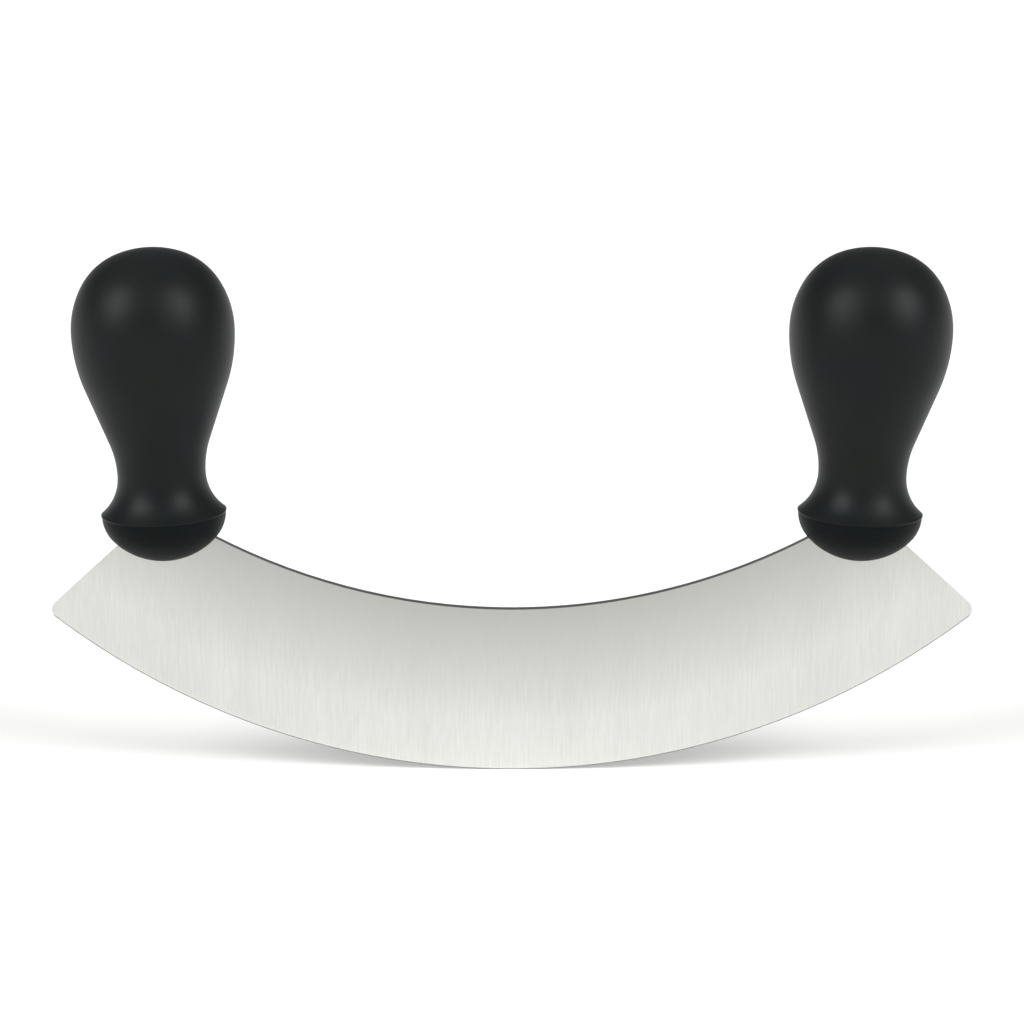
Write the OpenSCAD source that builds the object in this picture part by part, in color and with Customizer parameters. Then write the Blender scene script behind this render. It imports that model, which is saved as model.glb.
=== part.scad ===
// Mezzaluna: a rocking knife with one crescent blade and two upright knob handles.
// The blade stands in the XZ plane on the middle of its cutting edge, which is the origin.
// X runs from the left tip to the right tip and Z runs up to the knobs.

/* [Blade] */
// Length of the blade from tip to tip
blade_length = 230; // [200:1:280]
// Height of the blade at its middle, from cutting edge to spine
blade_height = 42; // [36:0.5:50]
// Radius of the curved cutting edge
edge_radius = 183.5; // [170:0.5:220]
// Radius of the hollow curve of the spine
spine_radius = 157; // [145:0.5:190]
// Thickness of the blade at its spine and in its tangs
blade_thickness = 2.5; // [1.6:0.1:3.2]
// Thickness of the ground blade just behind the sharpening bevel
bevel_thickness = 0.6; // [0.4:0.05:1]
// Height of the sharpening bevel
bevel_height = 0.9; // [0.5:0.1:2]
// Width of the honed land that is the cutting edge itself
edge_land = 0.08; // [0.04:0.01:0.2]
// Slope of the straight cut at each end of the blade
end_cut_angle = 42.3; // [38:0.1:47]
// Radius of the rounded tips
tip_radius = 2.5; // [1:0.1:4]

/* [Tang] */
// Width of each tang, across the handle
tang_width = 11; // [8:0.5:12]
// Height of each tang above the rim of its handle
tang_height = 40; // [36:0.5:46]
// Radius of the fillets at the foot of each tang
tang_fillet = 4; // [2:0.5:5]
// Radius of the rounded corners at the top of each tang
tang_corner = 3; // [1:0.5:4]
// Diameter of the cross pins that lock each tang in its core
pin_diameter = 3; // [2:0.5:4]
// Length of the cross pins
pin_length = 13; // [8:0.5:13.5]
// Height of the lower cross pin above the rim
pin_low = 13; // [11:0.5:16]
// Height of the upper cross pin above the rim
pin_high = 31; // [24:0.5:32]

/* [Handle] */
// Distance from each tip in to the axis of its handle, at the rim
handle_inset = 28.6; // [26:0.1:31]
// Lean of each handle away from the middle
handle_splay = 2; // [0:0.1:4]
// Drop from the spine down to the rim, on the axis of the handle
rim_drop = 1.4; // [0.5:0.1:2.5]
// Radius of the rim where the grip meets its base cap
rim_radius = 15.5; // [14.5:0.1:18]
// Height of the straight land around the rim
rim_land = 0.4; // [0.2:0.1:1]
// Radius of the neck at its narrowest
neck_radius = 10.9; // [10:0.1:12]
// Height of the narrowest part of the neck above the rim
neck_height = 10; // [8:0.1:12]
// Radius of the hollow curve from the neck up into the flank
neck_curve = 24; // [18:0.5:28]
// Length of the straight flank between the neck curve and the shoulder
flank_length = 14.5; // [6:0.5:18]
// Radius of the bulb at its widest
bulb_radius = 20; // [18:0.1:22]
// Height of the widest part of the bulb above the rim
bulb_height = 46; // [42:0.5:52]
// Radius of the side of the bulb above its widest part, for a bulb radius of one
bulb_side_share = 1.15; // [1.05:0.01:1.25]
// Radius of the shoulder above that side, for a bulb radius of one
bulb_shoulder_share = 0.85; // [0.75:0.01:0.9]
// Radius of the crown on top, for a bulb radius of one
bulb_crown_share = 1.2; // [1.1:0.01:1.4]
// Angle at which the side of the bulb passes into the shoulder
bulb_side_angle = 30; // [20:1:40]
// Thickness of the moulded grip around its core
grip_wall = 2.7; // [2:0.1:3]

/* [Base cap] */
// Depth of the domed cap below the rim
cap_depth = 11.8; // [9:0.1:13.5]
// Radius of the curve where the dome turns down from the rim
cap_corner = 9; // [6:0.1:9]
// Step from the rim of the grip in to the edge of the cap
cap_step = 0.15; // [0:0.05:0.5]
// Radius of the spigot that centres the cap in the grip
spigot_radius = 10.5; // [9:0.1:11]
// Height of the spigot
spigot_height = 2.5; // [1.5:0.1:3]

/* [Core] */
// Width of each key groove around the core
key_width = 3; // [2:0.5:4]
// Depth of the key grooves below the widest part of the core
key_depth = 1.8; // [1.2:0.1:2.5]
// Distance of each key groove from the widest part of the core
key_offset = 6; // [4:0.5:8]

/* [Fits] */
// Clearance around the blade in the slots of the caps and cores
slot_clearance = 0.05; // [0.02:0.01:0.2]
// Clearance between the core and the grip, and around the spigot
moulding_clearance = 0.05; // [0.02:0.01:0.2]
// Clearance around each cross pin
pin_clearance = 0.02; // [0.01:0.01:0.1]

/* [Hidden] */
$fn = 180;
blade_fn = 256;
steel = [0.80, 0.80, 0.79];
pin_steel = [0.62, 0.63, 0.64];
grip_black = [0.13, 0.14, 0.14];
cap_black = [0.09, 0.10, 0.10];
core_grey = [0.45, 0.46, 0.47];
// A length that reaches past every piece, for half planes and through cuts
far = 400;
// Overlap that lets joined shapes run into each other
lap = 1;
// Length of the short cones that stand for the curves of a turned outline
facet_length = 1.2;

// Blade: the two arcs, the rounded tip and the end cut on the right side
edge_centre = [0, edge_radius];
spine_centre = [0, blade_height + spine_radius];
tip_x = blade_length / 2 - tip_radius;
tip_centre = [tip_x, edge_radius - sqrt(pow(edge_radius - tip_radius, 2) - tip_x * tip_x)];
end_normal = [sin(end_cut_angle), cos(end_cut_angle)];
tip_normal = (tip_centre - edge_centre) / norm(tip_centre - edge_centre);
end_point = tip_centre + tip_radius * end_normal;

// Handle: where its axis meets the plane of the rim
handle_x = blade_length / 2 - handle_inset;
rim_z = spine_centre[1] - sqrt(spine_radius * spine_radius - handle_x * handle_x) - rim_drop;

// Knob outline: circle centres as [radius from the axis, height above the rim]
flare = rim_radius - neck_radius;
flare_curve = (flare * flare + pow(neck_height - rim_land, 2)) / (2 * flare);
swell = bulb_radius - neck_radius;
rise = bulb_height - neck_height;
curves = (swell * swell + rise * rise - flank_length * flank_length) / (2 * swell);
shoulder_curve = curves - neck_curve;
flare_centre = [neck_radius + flare_curve, neck_height];
neck_centre = [neck_radius + neck_curve, neck_height];
shoulder_centre = [bulb_radius - shoulder_curve, bulb_height];
flank_angle = atan2(rise, curves - swell) - acos(curves / norm([rise, curves - swell]));

// Bulb top: side arc, shoulder arc and crown arc, each tangent to the next
side_curve = bulb_side_share * bulb_radius;
turn_curve = bulb_shoulder_share * bulb_radius;
crown_curve = bulb_crown_share * bulb_radius;
side_centre = [bulb_radius - side_curve, bulb_height];
side_normal = [cos(bulb_side_angle), sin(bulb_side_angle)];
turn_centre = side_centre + (side_curve - turn_curve) * side_normal;
crown_drop = sqrt(pow(crown_curve - turn_curve, 2) - turn_centre[0] * turn_centre[0]);
crown_centre = [0, turn_centre[1] - crown_drop];
crown_angle = atan2(crown_drop, turn_centre[0]);

// Base cap: the corner arc turns down into the wide bottom arc
cap_radius = rim_radius - cap_step;
corner_centre = [cap_radius - cap_corner, 0];
bottom_curve = (pow(cap_radius - cap_corner, 2) + cap_depth * cap_depth - cap_corner * cap_corner)
    / (2 * (cap_depth - cap_corner));
bottom_centre = [0, bottom_curve - cap_depth];
bottom_angle = -atan2(bottom_centre[1], corner_centre[0]);

// A point of the right handle's own plane, as [across, up], in the plane of the blade
function handle_point(p) = [
    handle_x + p[0] * cos(handle_splay) + p[1] * sin(handle_splay),
    rim_z - p[0] * sin(handle_splay) + p[1] * cos(handle_splay)
];

// Points along an arc from one angle to another, about one facet length apart
function arc(centre, radius, from, to) =
    let(steps = ceil(abs(to - from) * PI / 180 * radius / facet_length))
    [for (i = [0 : steps]) let(angle = from + (to - from) * i / steps) centre + radius * [cos(angle), sin(angle)]];

// The same without its last point, which the next arc starts on
function open_arc(centre, radius, from, to) =
    let(points = arc(centre, radius, from, to)) [for (i = [0 : len(points) - 2]) points[i]];

// Direction of the right handle's axis in the plane of the blade
handle_up = [sin(handle_splay), cos(handle_splay)];

// How far up the handle a line beside the axis first comes within reach of the spine's centre
function rise_to_spine(across, reach) =
    let(start = handle_point([across, 0]) - spine_centre, along = start * handle_up)
    -along - sqrt(along * along - start * start + reach * reach);

// How far up the handle a line beside the axis stands off the end cut by a distance
function rise_to_end_cut(across, off) =
    (off - (handle_point([across, 0]) - end_point) * end_normal) / (handle_up * end_normal);

// Places its children on the handle: side is 1 on the right and -1 on the left
module at_handle(side) {
    translate([side * handle_x, 0, rim_z]) rotate([0, side * handle_splay, 0]) children();
}

// Turns a flat outline up into the plane of the blade and gives it a thickness
module in_blade_plane(thickness) {
    rotate([90, 0, 0]) linear_extrude(thickness, center = true) children();
}

module half_plane_below_end_cut(grow) {
    translate(end_point + grow * end_normal) rotate(-end_cut_angle) translate([-far, -far])
        square([2 * far, far]);
}

// What the rounded tip leaves out of the sharp corner between end cut and cutting edge
module tip_trim(grow) {
    reach = 3 * tip_radius;
    difference() {
        polygon([
            tip_centre,
            tip_centre + reach * end_normal,
            tip_centre + reach * (end_normal + tip_normal),
            tip_centre + reach * tip_normal
        ]);
        translate(tip_centre) circle(tip_radius + grow);
    }
}

module crescent(grow) {
    difference() {
        intersection() {
            translate(edge_centre) circle(edge_radius + grow, $fn = blade_fn);
            half_plane_below_end_cut(grow);
            mirror([1, 0]) half_plane_below_end_cut(grow);
        }
        translate(spine_centre) circle(spine_radius - grow, $fn = blade_fn);
        tip_trim(grow);
        mirror([1, 0]) tip_trim(grow);
    }
}

// Fills the corner beside a tang up to a fillet circle, given the two ways to the sides
module fillet_patch(centre, way_a, way_b, grow) {
    reach = tang_fillet + lap;
    difference() {
        polygon([
            centre,
            centre + reach * way_a,
            centre + reach * (way_a + way_b),
            centre + reach * way_b
        ]);
        translate(centre) circle(tang_fillet - grow);
    }
}

module tang(grow) {
    half = tang_width / 2 + grow;
    top = tang_height + grow;
    corner = tang_corner + grow;
    foot = -tang_width / 2;
    translate([handle_x, rim_z]) rotate(-handle_splay) {
        translate([-half, foot]) square([2 * half, top - corner - foot]);
        translate([corner - half, foot]) square([2 * (half - corner), top - foot]);
        for (side = [-1, 1]) translate([side * (half - corner), top - corner]) circle(corner);
    }
}

// The fillets between a tang and the spine, and between it and the end cut
module tang_fillets(grow) {
    stand_off = tang_width / 2 + tang_fillet;
    across = [cos(handle_splay), -sin(handle_splay)];
    inner = handle_point([-stand_off, rise_to_spine(-stand_off, spine_radius - tang_fillet)]);
    outer = handle_point([stand_off, rise_to_end_cut(stand_off, tang_fillet)]);
    fillet_patch(inner, across, (inner - spine_centre) / norm(inner - spine_centre), grow);
    fillet_patch(outer, -across, -end_normal, grow);
}

// The whole blade before grinding, made larger all round by grow
module blade_blank(thickness, grow) {
    in_blade_plane(thickness) crescent(grow);
    for (side = [0, 1]) mirror([side, 0, 0]) {
        in_blade_plane(thickness) tang(grow);
        in_blade_plane(thickness) tang_fillets(grow);
    }
}

// The ground section turned about the centre of the cutting edge, so its faces are true cones
module ground_disc() {
    spine_line = edge_radius - blade_height;
    bevel_line = edge_radius - bevel_height;
    translate([0, 0, edge_radius]) rotate([90, 0, 0]) rotate_extrude($fn = blade_fn) polygon([
        [0, -blade_thickness / 2],
        [spine_line, -blade_thickness / 2],
        [bevel_line, -bevel_thickness / 2],
        [edge_radius, -edge_land / 2],
        [edge_radius, edge_land / 2],
        [bevel_line, bevel_thickness / 2],
        [spine_line, blade_thickness / 2],
        [0, blade_thickness / 2]
    ]);
}

// Space that the blade takes up in the mouldings around it
module blade_space() {
    blade_blank(blade_thickness + 2 * slot_clearance, slot_clearance);
}

// The two cross pins of one handle, made larger all round by grow
module cross_pins(side, grow) {
    at_handle(side) for (up = [pin_low, pin_high]) {
        translate([0, 0, up]) rotate([90, 0, 0])
            cylinder(d = pin_diameter + 2 * grow, h = pin_length + 2 * grow, center = true);
    }
}

// Outline of the knob from the neck up to its top, drawn inward by inset
function upper_knob(inset) = concat(
    arc(neck_centre, neck_curve + inset, 180, 180 - flank_angle),
    open_arc(shoulder_centre, shoulder_curve - inset, -flank_angle, 0),
    open_arc(side_centre, side_curve - inset, 0, bulb_side_angle),
    open_arc(turn_centre, turn_curve - inset, bulb_side_angle, crown_angle),
    arc(crown_centre, crown_curve - inset, crown_angle, 90)
);

// Outline of the flare from the land at the rim up to the neck
flare_outline = open_arc(flare_centre, flare_curve, 180 + asin((neck_height - rim_land) / flare_curve), 180);

// Outline of the dome from its edge down to its lowest point
dome_outline = concat(
    open_arc(corner_centre, cap_corner, 0, bottom_angle),
    arc(bottom_centre, bottom_curve, bottom_angle, -90)
);

// The core without its slot, drawn inward by inset: a stem, the bulb and two key grooves
module core_body(inset) {
    stem = neck_radius - grip_wall - inset;
    key_floor = bulb_radius - grip_wall - key_depth - inset;
    key_half = key_width / 2 + inset;
    difference() {
        rotate_extrude()
            polygon(concat([[0, spigot_height], [stem, spigot_height]], upper_knob(grip_wall + inset)));
        for (way = [-1, 1]) translate([0, 0, bulb_height + way * key_offset - key_half])
            rotate_extrude() translate([key_floor, 0]) square([bulb_radius, 2 * key_half]);
    }
}

module blade() {
    color(steel) difference() {
        intersection() {
            blade_blank(blade_thickness + lap, 0);
            ground_disc();
        }
        cross_pins(1, pin_clearance);
        cross_pins(-1, pin_clearance);
    }
}

module base_cap(side) {
    color(cap_black) difference() {
        at_handle(side) {
            rotate_extrude() polygon(concat([[0, 0]], dome_outline));
            cylinder(r = spigot_radius, h = spigot_height);
        }
        blade_space();
    }
}

module core(side) {
    color(core_grey) difference() {
        at_handle(side) core_body(moulding_clearance);
        blade_space();
        cross_pins(side, pin_clearance);
    }
}

module tang_pins(side) {
    color(pin_steel) cross_pins(side, 0);
}

module grip(side) {
    color(grip_black) at_handle(side) difference() {
        rotate_extrude() polygon(concat([[0, 0], [rim_radius, 0]], flare_outline, upper_knob(0)));
        core_body(0);
        cylinder(r = spigot_radius + moulding_clearance, h = 2 * spigot_height, center = true);
    }
}

blade();
base_cap(-1);  // left_base_cap
base_cap(1);  // right_base_cap
core(-1);  // left_core
core(1);  // right_core
tang_pins(-1);  // left_tang_pins
tang_pins(1);  // right_tang_pins
grip(-1);  // left_grip
grip(1);  // right_grip
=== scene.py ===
"""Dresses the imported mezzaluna: the ground crescent blade and its two moulded knob handles.

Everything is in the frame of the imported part, in metres. X runs from the left tip to the right
tip, Z runs up to the knobs, and the origin is the middle of the cutting edge, which stands on
the floor. Sizes in the classes are in millimetres.
"""

import logging
import math
from dataclasses import dataclass, field
from enum import Enum

import bmesh
import bpy
from mathutils import Matrix, Vector


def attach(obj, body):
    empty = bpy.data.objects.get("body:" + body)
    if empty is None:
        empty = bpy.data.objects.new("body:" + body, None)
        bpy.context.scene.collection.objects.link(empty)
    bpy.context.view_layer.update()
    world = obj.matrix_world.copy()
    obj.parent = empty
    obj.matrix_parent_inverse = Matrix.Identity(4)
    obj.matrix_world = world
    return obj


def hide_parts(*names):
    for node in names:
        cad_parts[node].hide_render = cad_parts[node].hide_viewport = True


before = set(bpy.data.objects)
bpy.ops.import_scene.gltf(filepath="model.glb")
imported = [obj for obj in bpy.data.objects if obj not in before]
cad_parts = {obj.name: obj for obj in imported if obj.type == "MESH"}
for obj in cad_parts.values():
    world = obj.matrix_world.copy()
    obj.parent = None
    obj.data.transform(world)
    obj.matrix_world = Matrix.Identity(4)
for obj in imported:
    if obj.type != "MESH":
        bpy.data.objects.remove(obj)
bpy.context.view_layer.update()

MM = 0.001
BODY = "root"
SHARP_EDGE = math.radians(35)
# Nearly all of a noise lies in this range
NOISE_RANGE = (0.3, 0.7)

log = logging.getLogger("mezzaluna")

Point = tuple[float, float]
Colour = tuple[float, float, float, float]


class Side(Enum):
    """The two ends of the blade. The value is the sign of X."""

    LEFT = -1
    RIGHT = 1

    @property
    def word(self) -> str:
        """The word that the nodes of this side start with."""
        return self.name.lower()


def linear(colour: str) -> Colour:
    """Turns an sRGB hex colour to linear light.

    Args:
        colour: The colour as "#rrggbb".

    Returns:
        Red, green and blue in linear light, and an alpha of 1.
    """
    shares = [int(colour[i:i + 2], 16) / 255 for i in (1, 3, 5)]
    red, green, blue = (s / 12.92 if s <= 0.04045 else ((s + 0.055) / 1.055) ** 2.4 for s in shares)
    return red, green, blue, 1.0


def add_node(
    tree: bpy.types.NodeTree, kind: str, inputs: dict | None = None, **settings: object
) -> bpy.types.Node:
    """Adds a node, sets its own settings, and fills or links its inputs.

    Args:
        tree: The node tree that gets the node.
        kind: The node's type, without its ShaderNode prefix.
        inputs: A value, or the output socket that feeds it, for each input by name or place.
        **settings: The node's own settings, such as an operation.

    Returns:
        The new node.
    """
    node = tree.nodes.new("ShaderNode" + kind)
    for name, value in settings.items():
        setattr(node, name, value)
    for place, value in (inputs or {}).items():
        if isinstance(value, bpy.types.NodeSocket):
            tree.links.new(value, node.inputs[place])
        else:
            node.inputs[place].default_value = value
    return node


def mix_colour(
    tree: bpy.types.NodeTree,
    share: bpy.types.NodeSocket,
    low: bpy.types.NodeSocket | Colour,
    high: bpy.types.NodeSocket | Colour,
) -> bpy.types.NodeSocket:
    """Mixes two colours by a share from the surface.

    Args:
        tree: The node tree that gets the mix.
        share: The socket that goes from 0, all low, to 1, all high.
        low: A linear colour or a colour socket.
        high: A linear colour or a colour socket.

    Returns:
        The socket with the mixed colour.
    """
    first, second, result = 6, 7, 2
    mix = add_node(tree, "Mix", {0: share, first: low, second: high}, data_type="RGBA")
    return mix.outputs[result]


def noise(
    tree: bpy.types.NodeTree,
    place: bpy.types.NodeSocket,
    grain: tuple[float, float, float],
    detail: float,
) -> bpy.types.NodeSocket:
    """Makes a noise whose grain has a real size.

    Args:
        tree: The node tree that gets the noise.
        place: The socket with the place on the piece, in metres.
        grain: The size of one grain along X, Y and Z, in millimetres.
        detail: How many finer layers the noise has.

    Returns:
        The socket with the noise, from 0 to 1.
    """
    scale = tuple(1 / (size * MM) for size in grain)
    spread = add_node(tree, "Mapping", {"Vector": place, "Scale": scale})
    made = add_node(tree, "TexNoise", {"Vector": spread.outputs[0], "Scale": 1.0, "Detail": detail})
    return made.outputs[0]


def rescale(
    tree: bpy.types.NodeTree,
    value: bpy.types.NodeSocket,
    source: tuple[float, float],
    target: tuple[float, float],
) -> bpy.types.NodeSocket:
    """Stretches a value from one range to another and holds it at the ends.

    Args:
        tree: The node tree that gets the node.
        value: The socket with the value.
        source: The range that the value comes in.
        target: The range that it leaves in.

    Returns:
        The socket with the new value.
    """
    inputs = {0: value, 1: source[0], 2: source[1], 3: target[0], 4: target[1]}
    return add_node(tree, "MapRange", inputs).outputs[0]


@dataclass(frozen=True)
class Finish:
    """What all finishes share: a name and a start for their node tree."""

    name: str

    def start(self) -> tuple[bpy.types.Material, bpy.types.NodeTree, bpy.types.Node, bpy.types.Node]:
        """Makes a material with a bare shader.

        Returns:
            The material, its node tree, its shader and its texture coordinates.
        """
        material = bpy.data.materials.new(self.name)
        material.use_nodes = True
        tree = material.node_tree
        shader = tree.nodes["Principled BSDF"]
        return material, tree, shader, add_node(tree, "TexCoord")


@dataclass(frozen=True)
class BeltGroundSteel(Finish):
    """Stainless knife steel, ground from spine to edge on a fine belt.

    The belt leaves short upright scratches, so the eye sees a satin grey with fine upright
    streaks, and reflections smeared wide. Shade is painted into the colour: the steel darkens
    towards the spine, the spine and tangs are painted dark, the end cuts less so, and a thin
    painted shadow runs along the cutting edge.
    """

    name: str = "stainless_steel_belt_ground"
    colour_bright: str = "#dbdbd8"
    colour_dull: str = "#d1d1ce"
    # Painted shade: the darker colour towards the spine
    colour_height_shade: str = "#b4b4b1"
    # Painted shade on the spine, tangs and end cuts, and painted shadow along the cutting edge
    colour_painted_shade: str = "#6c6c6a"
    roughness: float = 0.36
    roughness_swing: float = 0.03
    # Belt scratches are about 0.05 mm wide, too fine to show, so they are drawn 0.35 mm wide
    scratch: tuple[float, float, float] = (0.35, 1.0, 6.0)
    scratch_depth: float = 0.004
    # Passes of the belt overlap in soft bands about 9 mm wide
    band: tuple[float, float, float] = (9.0, 20.0, 60.0)
    band_share: float = 0.5
    # Share of the height, from the spine down, over which the painted shade fades out
    height_shade_share: float = 0.7
    # Width of the painted shadow along the cutting edge, in millimetres
    edge_shadow_width: float = 0.28
    # Share of the painted shade on the end cuts, which are painted lighter than the spine
    end_cut_shade_share: float = 0.35

    def material(self, edge_radius: float, height: float) -> bpy.types.Material:
        """Makes the steel.

        Args:
            edge_radius: Radius of the cutting edge, and height of its centre, in millimetres.
            height: Height of the blade at its middle, in millimetres.

        Returns:
            The material.
        """
        material, tree, shader, place = self.start()
        scratch = noise(tree, place.outputs["Object"], self.scratch, 3.0)
        band = noise(tree, place.outputs["Object"], self.band, 2.0)
        inputs = {0: band, 1: self.band_share, 2: scratch}
        both = add_node(tree, "Math", inputs, operation="MULTIPLY_ADD").outputs[0]
        middle = (1 + self.band_share) / 2
        tone = rescale(tree, both, (middle - 0.25, middle + 0.25), (0.0, 1.0))
        fine = mix_colour(tree, tone, linear(self.colour_bright), linear(self.colour_dull))
        centre = (0.0, 0.0, edge_radius * MM)
        reach = add_node(tree, "VectorMath", {0: place.outputs["Object"], 1: centre}, operation="DISTANCE")
        reach = reach.outputs["Value"]
        # Painted shade: the steel is painted darker along the spine and fades out towards the edge
        fade = ((edge_radius - height) * MM, (edge_radius - height * (1 - self.height_shade_share)) * MM)
        height_shade = rescale(tree, reach, fade, (1.0, 0.0))
        # ground holds the random belt tone together with the painted shade towards the spine
        ground = mix_colour(tree, height_shade, fine, linear(self.colour_height_shade))
        # Painted shade on the narrow faces, standing in for the dark reflection along the spine
        narrow_shade = self.narrow_face_shade(tree, place)
        # Painted shadow: a thin dark line along the cutting edge
        line = ((edge_radius - self.edge_shadow_width) * MM, (edge_radius - self.edge_shadow_width / 2) * MM)
        edge_shadow = rescale(tree, reach, line, (0.0, 1.0))
        # bare joins the painted shade of the narrow faces and the painted shadow along the cutting edge
        bare = add_node(tree, "Math", {0: narrow_shade, 1: edge_shadow}, operation="MAXIMUM").outputs[0]
        colour = mix_colour(tree, bare, ground, linear(self.colour_painted_shade))
        low, high = self.roughness - self.roughness_swing, self.roughness + self.roughness_swing
        roughness = rescale(tree, scratch, NOISE_RANGE, (low, high))
        bump = add_node(
            tree, "Bump", {"Height": scratch, "Distance": self.scratch_depth * MM, "Strength": 1.0}
        )
        tree.links.new(colour, shader.inputs["Base Color"])
        tree.links.new(roughness, shader.inputs["Roughness"])
        tree.links.new(bump.outputs[0], shader.inputs["Normal"])
        shader.inputs["Metallic"].default_value = 1.0
        return material

    def narrow_face_shade(self, tree: bpy.types.NodeTree, place: bpy.types.Node) -> bpy.types.NodeSocket:
        """Finds the narrow faces that get painted shade: full on the spine and tangs, part on the end cuts.

        Args:
            tree: The material's node tree.
            place: Its texture coordinates.

        Returns:
            The socket with the share of the blanked finish.
        """
        facing = add_node(tree, "SeparateXYZ", {0: place.outputs["Normal"]})
        where = add_node(tree, "SeparateXYZ", {0: place.outputs["Object"]})
        flat = add_node(tree, "Math", {0: facing.outputs[1]}, operation="ABSOLUTE").outputs[0]
        # The ground faces look along Y, so a face that looks less than half that way is a narrow one
        narrow = rescale(tree, flat, (0.8, 0.5), (0.0, 1.0))
        # Facing times distance along X, in metres: the spine leans inward, and the end cuts outward
        outward = add_node(tree, "Math", {0: facing.outputs[0], 1: where.outputs[0]}, operation="MULTIPLY")
        share = rescale(tree, outward.outputs[0], (0.01, 0.03), (1.0, self.end_cut_shade_share))
        return add_node(tree, "Math", {0: narrow, 1: share}, operation="MULTIPLY").outputs[0]


@dataclass(frozen=True)
class MouldedPlastic(Finish):
    """Black polyamide from a spark-eroded mould.

    The mould leaves an even matt grain, so the eye sees a near-black satin with soft, wide
    highlights and a faint drift between a bluish and a greenish black.
    """

    name: str = "polyamide_black_moulded"
    colour_cool: str = "#0d1113"
    colour_warm: str = "#111412"
    roughness: float = 0.44
    roughness_swing: float = 0.03
    refraction: float = 1.53
    specular: float = 0.14
    # The mould's grain is about 0.06 mm, too fine to show, so it is drawn 0.35 mm wide
    grain: float = 0.35
    grain_depth: float = 0.004
    drift: float = 16.0

    def material(self) -> bpy.types.Material:
        """Makes the plastic."""
        material, tree, shader, place = self.start()
        grain = noise(tree, place.outputs["Object"], (self.grain,) * 3, 2.0)
        drift = noise(tree, place.outputs["Object"], (self.drift,) * 3, 2.0)
        tone = rescale(tree, drift, (0.35, 0.65), (0.0, 1.0))
        colour = mix_colour(tree, tone, linear(self.colour_cool), linear(self.colour_warm))
        low, high = self.roughness - self.roughness_swing, self.roughness + self.roughness_swing
        roughness = rescale(tree, drift, NOISE_RANGE, (low, high))
        bump = add_node(tree, "Bump", {"Height": grain, "Distance": self.grain_depth * MM, "Strength": 1.0})
        tree.links.new(colour, shader.inputs["Base Color"])
        tree.links.new(roughness, shader.inputs["Roughness"])
        tree.links.new(bump.outputs[0], shader.inputs["Normal"])
        shader.inputs["IOR"].default_value = self.refraction
        shader.inputs["Specular IOR Level"].default_value = self.specular
        return material


@dataclass(frozen=True)
class DrawnSteel(Finish):
    """Bright drawn steel rod. The die leaves fine lines along it, so it shines in streaks."""

    name: str = "steel_rod_bright_drawn"
    colour_bright: str = "#c2c3c4"
    colour_dull: str = "#a9aaac"
    roughness: float = 0.3
    # Die lines are about 0.02 mm wide, and are drawn 0.2 mm wide so that they show
    line_width: float = 0.2
    line_length: float = 6.0

    def material(self) -> bpy.types.Material:
        """Makes the steel."""
        material, tree, shader, place = self.start()
        grain = (self.line_width, self.line_length, self.line_width)
        lines = noise(tree, place.outputs["Object"], grain, 2.0)
        tone = rescale(tree, lines, NOISE_RANGE, (0.0, 1.0))
        colour = mix_colour(tree, tone, linear(self.colour_bright), linear(self.colour_dull))
        tree.links.new(colour, shader.inputs["Base Color"])
        shader.inputs["Metallic"].default_value = 1.0
        shader.inputs["Roughness"].default_value = self.roughness
        return material


@dataclass(frozen=True)
class BackdropPaper(Finish):
    """Matt white background paper. It shows as an even white and keeps a soft shadow."""

    name: str = "paper_white_backdrop"
    colour: str = "#e9e9e8"
    glow: float = 0.2

    def material(self) -> bpy.types.Material:
        """Makes the paper, with a little light of its own for the eye, metal and glass."""
        material, tree, shader, _ = self.start()
        rays = add_node(tree, "LightPath")
        seen = rays.outputs["Is Camera Ray"]
        for ray in ("Is Glossy Ray", "Is Transmission Ray"):
            seen = add_node(tree, "Math", {0: seen, 1: rays.outputs[ray]}, operation="MAXIMUM").outputs[0]
        strength = add_node(tree, "Math", {0: seen, 1: self.glow}, operation="MULTIPLY")
        tree.links.new(strength.outputs[0], shader.inputs["Emission Strength"])
        shader.inputs["Emission Color"].default_value = (1.0, 1.0, 1.0, 1.0)
        shader.inputs["Base Color"].default_value = linear(self.colour)
        shader.inputs["Roughness"].default_value = 1.0
        shader.inputs["Specular IOR Level"].default_value = 0.0
        return material


@dataclass(frozen=True)
class Arc:
    """An arc of a turned outline. Angles are in degrees from straight out of the axis."""

    centre: Point
    radius: float
    start: float
    end: float

    def points(self, step: float) -> list[Point]:
        """Gives points along the arc, both ends included.

        Args:
            step: The longest distance between two points, in millimetres.

        Returns:
            The points as radius from the axis and height above the rim.
        """
        length = abs(math.radians(self.end - self.start)) * self.radius
        count = max(1, math.ceil(length / step))
        angles = [math.radians(self.start + (self.end - self.start) * i / count) for i in range(count + 1)]
        return [
            (self.centre[0] + self.radius * math.cos(a), self.centre[1] + self.radius * math.sin(a))
            for a in angles
        ]


def without_repeats(points: list[Point]) -> list[Point]:
    """Drops each point that lies on the one before it."""
    close = 0.001
    kept = points[:1]
    for point in points[1:]:
        if math.dist(point, kept[-1]) > close:
            kept.append(point)
    return kept


def dress(piece: bpy.types.Object, material: bpy.types.Material) -> None:
    """Gives a piece one material in place of what it had."""
    piece.data.materials.clear()
    piece.data.materials.append(material)


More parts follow.
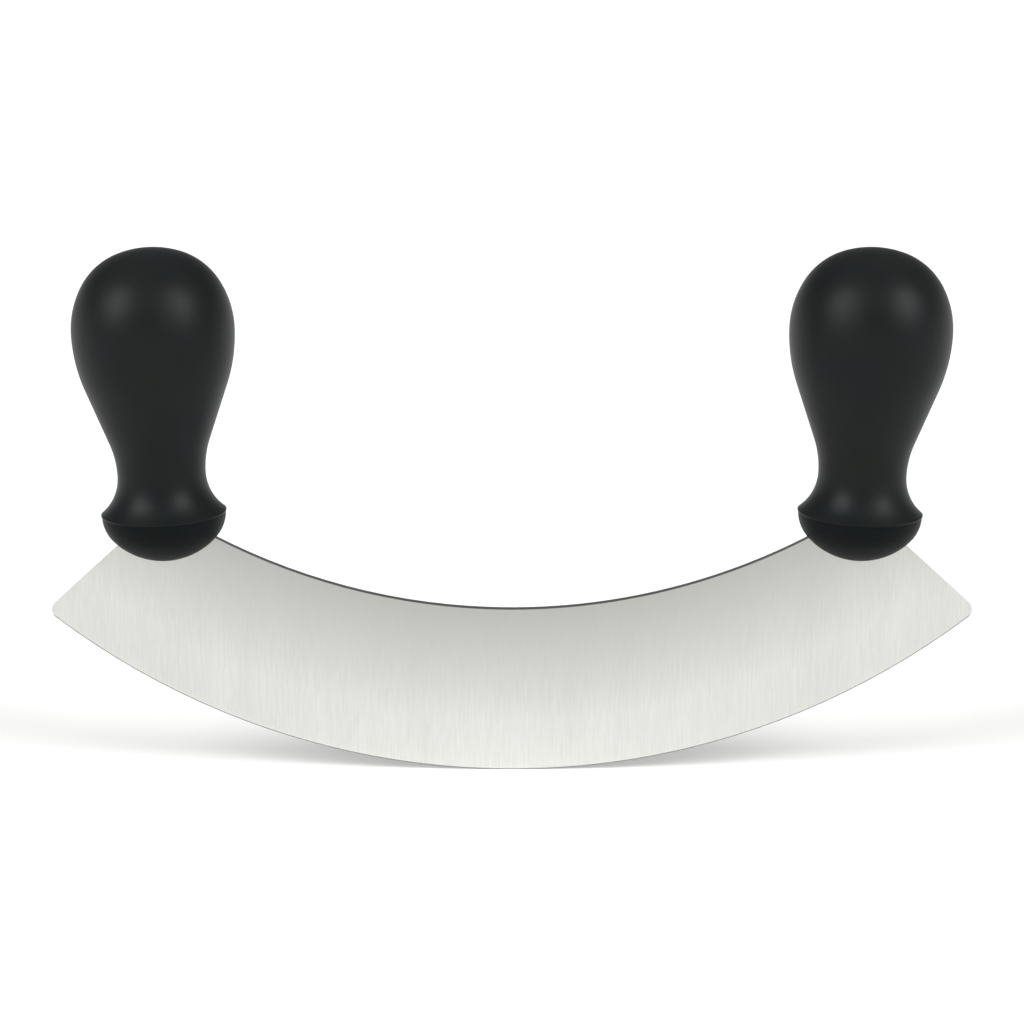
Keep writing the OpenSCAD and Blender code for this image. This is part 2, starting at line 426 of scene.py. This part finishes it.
def turn(name: str, outline: list[Point], placement: Matrix, segments: int) -> bpy.types.Object:
    """Turns a closed outline round the Z axis into a closed mesh.

    Args:
        name: The name of the new object.
        outline: Radius and height of each point, in millimetres, round the section in order.
        placement: Where the turned form goes, in metres.
        segments: How many flats go round the axis.

    Returns:
        The new object, with smooth faces and sharp corners.
    """
    form = bmesh.new()
    on_axis = 1e-6
    rings: list[list[bmesh.types.BMVert]] = []
    for radius, height in outline:
        count = 1 if radius < on_axis else segments
        ring = []
        for i in range(count):
            angle = 2 * math.pi * i / count
            ring.append(form.verts.new(
                Vector((radius * math.cos(angle), radius * math.sin(angle), height)) * MM
            ))
        rings.append(ring)
    for lower, upper in zip(rings, rings[1:] + rings[:1]):
        if len(lower) == len(upper) == 1:
            continue
        for i in range(segments):
            j = (i + 1) % segments
            corners = [
                lower[i % len(lower)], lower[j % len(lower)], upper[j % len(upper)], upper[i % len(upper)]
            ]
            form.faces.new(list(dict.fromkeys(corners)))
    bmesh.ops.recalc_face_normals(form, faces=form.faces)
    for face in form.faces:
        face.smooth = True
    for edge in form.edges:
        edge.smooth = edge.calc_face_angle(0) < SHARP_EDGE
    form.transform(placement)
    mesh = bpy.data.meshes.new(name)
    form.to_mesh(mesh)
    form.free()
    piece = bpy.data.objects.new(name, mesh)
    bpy.context.scene.collection.objects.link(piece)
    return piece


@dataclass
class Blade:
    """The crescent blade and its tangs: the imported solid, in its ground steel."""

    length: float = 230.0
    height: float = 42.0
    edge_radius: float = 183.5
    spine_radius: float = 157.0
    finish: BeltGroundSteel = field(default_factory=BeltGroundSteel)

    def spine_height(self, across: float) -> float:
        """Gives the height of the spine at a distance from the middle, in millimetres."""
        return self.height + self.spine_radius - math.sqrt(self.spine_radius ** 2 - across ** 2)

    def build(self) -> bpy.types.Object:
        """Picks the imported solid, whose faces are already ground true."""
        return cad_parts["blade"]

    def dress(self, blade: bpy.types.Object) -> None:
        """Gives the blade its steel."""
        dress(blade, self.finish.material(self.edge_radius, self.height))


@dataclass
class Grip:
    """The moulded knob: a shell turned from tangent arcs, hollow for the core and the cap's spigot."""

    rim_radius: float = 15.5
    rim_land: float = 0.4
    rim_round: float = 0.25
    neck_radius: float = 10.9
    neck_height: float = 10.0
    neck_curve: float = 24.0
    flank_length: float = 14.5
    bulb_radius: float = 20.0
    bulb_height: float = 46.0
    side_share: float = 1.15
    shoulder_share: float = 0.85
    crown_share: float = 1.2
    side_angle: float = 30.0
    wall: float = 2.7
    spigot_radius: float = 10.55
    spigot_height: float = 2.5
    key_width: float = 3.0
    key_depth: float = 1.8
    key_offset: float = 6.0
    step: float = 0.9
    segments: int = 128
    finish: MouldedPlastic = field(default_factory=MouldedPlastic)

    def flare(self) -> Arc:
        """Gives the arc from the land at the rim up to the neck."""
        out, up = self.rim_radius - self.neck_radius, self.neck_height - self.rim_land
        radius = (out * out + up * up) / (2 * out)
        start = 180 + math.degrees(math.asin(up / radius))
        return Arc((self.neck_radius + radius, self.neck_height), radius, start, 180)

    def bulb(self, inset: float) -> list[Point]:
        """Gives the outline from the neck up to the top, drawn inward.

        Args:
            inset: How far inside the outer surface the outline runs, in millimetres.

        Returns:
            The points, from the neck to the axis.
        """
        swell, rise = self.bulb_radius - self.neck_radius, self.bulb_height - self.neck_height
        curves = (swell ** 2 + rise ** 2 - self.flank_length ** 2) / (2 * swell)
        shoulder = curves - self.neck_curve
        away = curves - swell
        flank = math.degrees(math.atan2(rise, away) - math.acos(curves / math.hypot(rise, away)))
        side, turned, crown = (
            share * self.bulb_radius for share in (self.side_share, self.shoulder_share, self.crown_share)
        )
        lean = math.radians(self.side_angle)
        turned_centre = (
            self.bulb_radius - side + (side - turned) * math.cos(lean),
            self.bulb_height + (side - turned) * math.sin(lean),
        )
        drop = math.sqrt((crown - turned) ** 2 - turned_centre[0] ** 2)
        top = math.degrees(math.atan2(drop, turned_centre[0]))
        neck_centre = (self.neck_radius + self.neck_curve, self.neck_height)
        arcs = (
            Arc(neck_centre, self.neck_curve + inset, 180, 180 - flank),
            Arc((self.bulb_radius - shoulder, self.bulb_height), shoulder - inset, -flank, 0),
            Arc((self.bulb_radius - side, self.bulb_height), side - inset, 0, self.side_angle),
            Arc(turned_centre, turned - inset, self.side_angle, top),
            Arc((0.0, turned_centre[1] - drop), crown - inset, top, 90),
        )
        points = [point for arc in arcs for point in arc.points(self.step)]
        return points[:-1] + [(0.0, points[-1][1])]

    def cavity(self) -> list[Point]:
        """Gives the inner outline from the axis down to the rim, with the two key ribs.

        Returns:
            The points, from the top of the cavity down to the spigot's seat.
        """
        points = self.bulb(self.wall)[::-1]
        for way in (1, -1):
            middle = self.bulb_height + way * self.key_offset
            points = self.add_rib(points, middle - self.key_width / 2, middle + self.key_width / 2)
        stem = self.neck_radius - self.wall
        bore = self.spigot_radius
        return points + [(stem, self.spigot_height), (bore, self.spigot_height), (bore, 0.0)]

    def add_rib(self, points: list[Point], low: float, high: float) -> list[Point]:
        """Puts one key rib into the inner outline.

        Args:
            points: The outline, from the top down.
            low: Height of the rib's lower face above the rim.
            high: Height of its upper face.

        Returns:
            The outline with the rib's four corners in place of the points beside it.
        """
        crest = self.bulb_radius - self.wall - self.key_depth
        corners = []
        for height in (high, low):
            above = min((p for p in points if p[1] >= height), key=lambda p: p[1])
            below = max((p for p in points if p[1] < height), key=lambda p: p[1])
            share = (height - below[1]) / (above[1] - below[1])
            corners.append((below[0] + share * (above[0] - below[0]), height))
        rib = [corners[0], (crest, high), (crest, low), corners[1]]
        return [p for p in points if p[1] > high] + rib + [p for p in points if p[1] < low]

    def outline(self) -> list[Point]:
        """Gives the whole section: the rounded rim, the flare, the bulb and the cavity."""
        corner = Arc((self.rim_radius - self.rim_round, self.rim_round), self.rim_round, -90, 0)
        outside = corner.points(self.rim_round / 3) + self.flare().points(self.step) + self.bulb(0.0)
        return without_repeats(outside + self.cavity())

    def build(self, side: Side, placement: Matrix) -> bpy.types.Object:
        """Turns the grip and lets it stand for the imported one.

        Args:
            side: The end of the blade that it sits on.
            placement: Where its rim's middle and its axis are.

        Returns:
            The new piece.
        """
        grip = turn(f"{side.word}_grip_moulding", self.outline(), placement, self.segments)
        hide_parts(f"{side.word}_grip")
        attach(grip, BODY)
        return grip

    def dress(self, grip: bpy.types.Object) -> None:
        """Gives the grip its plastic."""
        dress(grip, self.finish.material())


@dataclass
class Handle:
    """One handle: the grip, the domed base cap under it, and the core and pins inside it."""

    side: Side
    inset: float = 28.6
    splay: float = 2.0
    rim_drop: float = 1.4
    grip: Grip = field(default_factory=Grip)
    # The cap is its own moulding, but its darker, less shiny copy of the grip's plastic is painted shade
    # for the dome under the rim
    shaded_cap_finish: MouldedPlastic = field(default_factory=lambda: MouldedPlastic(
        name="polyamide_black_moulded_cap_shaded", colour_cool="#0d1113", colour_warm="#101312", specular=0.05
    ))
    core_finish: MouldedPlastic = field(default_factory=lambda: MouldedPlastic(
        name="polyamide_glass_filled_core", colour_cool="#7f8284", colour_warm="#8d8f8e", grain=0.5
    ))
    pin_finish: DrawnSteel = field(default_factory=DrawnSteel)

    def placement(self, blade: Blade) -> Matrix:
        """Works out where the handle stands on the blade.

        Args:
            blade: The blade that carries it.

        Returns:
            The place of the rim's middle and the lean of the axis.
        """
        across = blade.length / 2 - self.inset
        rim = blade.spine_height(across) - self.rim_drop
        lean = Matrix.Rotation(math.radians(self.side.value * self.splay), 4, "Y")
        return Matrix.Translation(Vector((self.side.value * across, 0.0, rim)) * MM) @ lean

    def build(self, blade: Blade) -> dict[str, bpy.types.Object]:
        """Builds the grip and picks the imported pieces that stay.

        Args:
            blade: The blade that carries the handle.

        Returns:
            Each piece of the handle by its kind.
        """
        kinds = ("base_cap", "core", "tang_pins")
        kept = {kind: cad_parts[f"{self.side.word}_{kind}"] for kind in kinds}
        return {"grip": self.grip.build(self.side, self.placement(blade)), **kept}

    def dress(self, pieces: dict[str, bpy.types.Object]) -> None:
        """Gives each piece of the handle its finish."""
        self.grip.dress(pieces["grip"])
        dress(pieces["base_cap"], self.shaded_cap_finish.material())
        dress(pieces["core"], self.core_finish.material())
        dress(pieces["tang_pins"], self.pin_finish.material())


@dataclass
class Studio:
    """The white paper floor, the soft lights and the camera. Sizes here are in metres."""

    floor_half: float = 8.0
    camera_place: tuple[float, float, float] = (0.0, -0.7795, 0.2467)
    camera_target: tuple[float, float, float] = (0.0, 0.0, 0.06675)
    lens: float = 113.27
    front_turn: float = 54.0
    front_height: float = 33.0
    front_width: float = 34.0
    front_strength: float = 2.1
    top_height: float = 80.0
    top_width: float = 90.0
    top_strength: float = 0.6
    sky_low: float = 1.0
    sky_high: float = 0.24
    # How high above the horizon the white ends and the grey begins, as the sine of the angle
    sky_fade: tuple[float, float] = (0.02, 0.25)
    paper: BackdropPaper = field(default_factory=BackdropPaper)

    def add_floor(self) -> None:
        """Lays the paper under the blade."""
        form = bmesh.new()
        bmesh.ops.create_grid(form, x_segments=1, y_segments=1, size=self.floor_half)
        mesh = bpy.data.meshes.new("floor")
        form.to_mesh(mesh)
        form.free()
        floor = bpy.data.objects.new("floor", mesh)
        bpy.context.scene.collection.objects.link(floor)
        dress(floor, self.paper.material())

    def add_light(self, name: str, turn_angle: float, height: float, width: float, strength: float) -> None:
        """Adds one soft light far away.

        Args:
            name: The light's name.
            turn_angle: How far it stands to the right of the camera, in degrees.
            height: Its height above the horizon, in degrees.
            width: How wide it looks from the object, in degrees.
            strength: Its strength.
        """
        lamp = bpy.data.lights.new(name, "SUN")
        lamp.energy = strength
        lamp.angle = math.radians(width)
        light = bpy.data.objects.new(name, lamp)
        around, up = math.radians(turn_angle), math.radians(height)
        toward = Vector((math.sin(around) * math.cos(up), -math.cos(around) * math.cos(up), math.sin(up)))
        light.rotation_mode = "QUATERNION"
        light.rotation_quaternion = toward.to_track_quat("Z", "Y")
        bpy.context.scene.collection.objects.link(light)

    def add_lights(self) -> None:
        """Adds a soft light at each side of the camera and a wide one overhead."""
        for side in Side:
            self.add_light(
                f"{side.word}_light", side.value * self.front_turn, self.front_height,
                self.front_width, self.front_strength,
            )
        self.add_light("top_light", 0.0, self.top_height, self.top_width, self.top_strength)

    def add_sky(self) -> None:
        """Makes the room: white at the horizon and grey overhead."""
        world = bpy.data.worlds.new("room")
        world.use_nodes = True
        bpy.context.scene.world = world
        tree = world.node_tree
        place = add_node(tree, "TexCoord")
        way = add_node(tree, "SeparateXYZ", {0: place.outputs["Generated"]})
        strength = rescale(tree, way.outputs[2], self.sky_fade, (self.sky_low, self.sky_high))
        background = tree.nodes["Background"]
        background.inputs["Color"].default_value = (1.0, 1.0, 1.0, 1.0)
        tree.links.new(strength, background.inputs["Strength"])

    def add_camera(self) -> None:
        """Puts the camera at the photograph's place, in front and a little above."""
        camera = bpy.data.objects.new("camera", bpy.data.cameras.new("camera"))
        camera.data.lens = self.lens
        camera.location = self.camera_place
        gaze = Vector(self.camera_target) - Vector(self.camera_place)
        camera.rotation_mode = "QUATERNION"
        camera.rotation_quaternion = gaze.to_track_quat("-Z", "Y")
        bpy.context.scene.collection.objects.link(camera)
        bpy.context.scene.camera = camera

    def build(self) -> None:
        """Sets up the whole studio."""
        bpy.context.scene.view_settings.view_transform = "Standard"
        self.add_floor()
        self.add_lights()
        self.add_sky()
        self.add_camera()


def report(piece: bpy.types.Object) -> None:
    """Reports a finished piece with its faces and its finish."""
    log.info("%s: %d faces, %s", piece.name, len(piece.data.polygons), piece.data.materials[0].name)


def main() -> None:
    """Builds and dresses the blade, then each handle, then the studio."""
    logging.basicConfig(level=logging.INFO, format="%(name)s: %(message)s")
    blade = Blade()
    steel = blade.build()
    blade.dress(steel)
    report(steel)
    for side in Side:
        handle = Handle(side)
        pieces = handle.build(blade)
        handle.dress(pieces)
        for piece in pieces.values():
            report(piece)
    Studio().build()


if __name__ == "__main__":
    main()
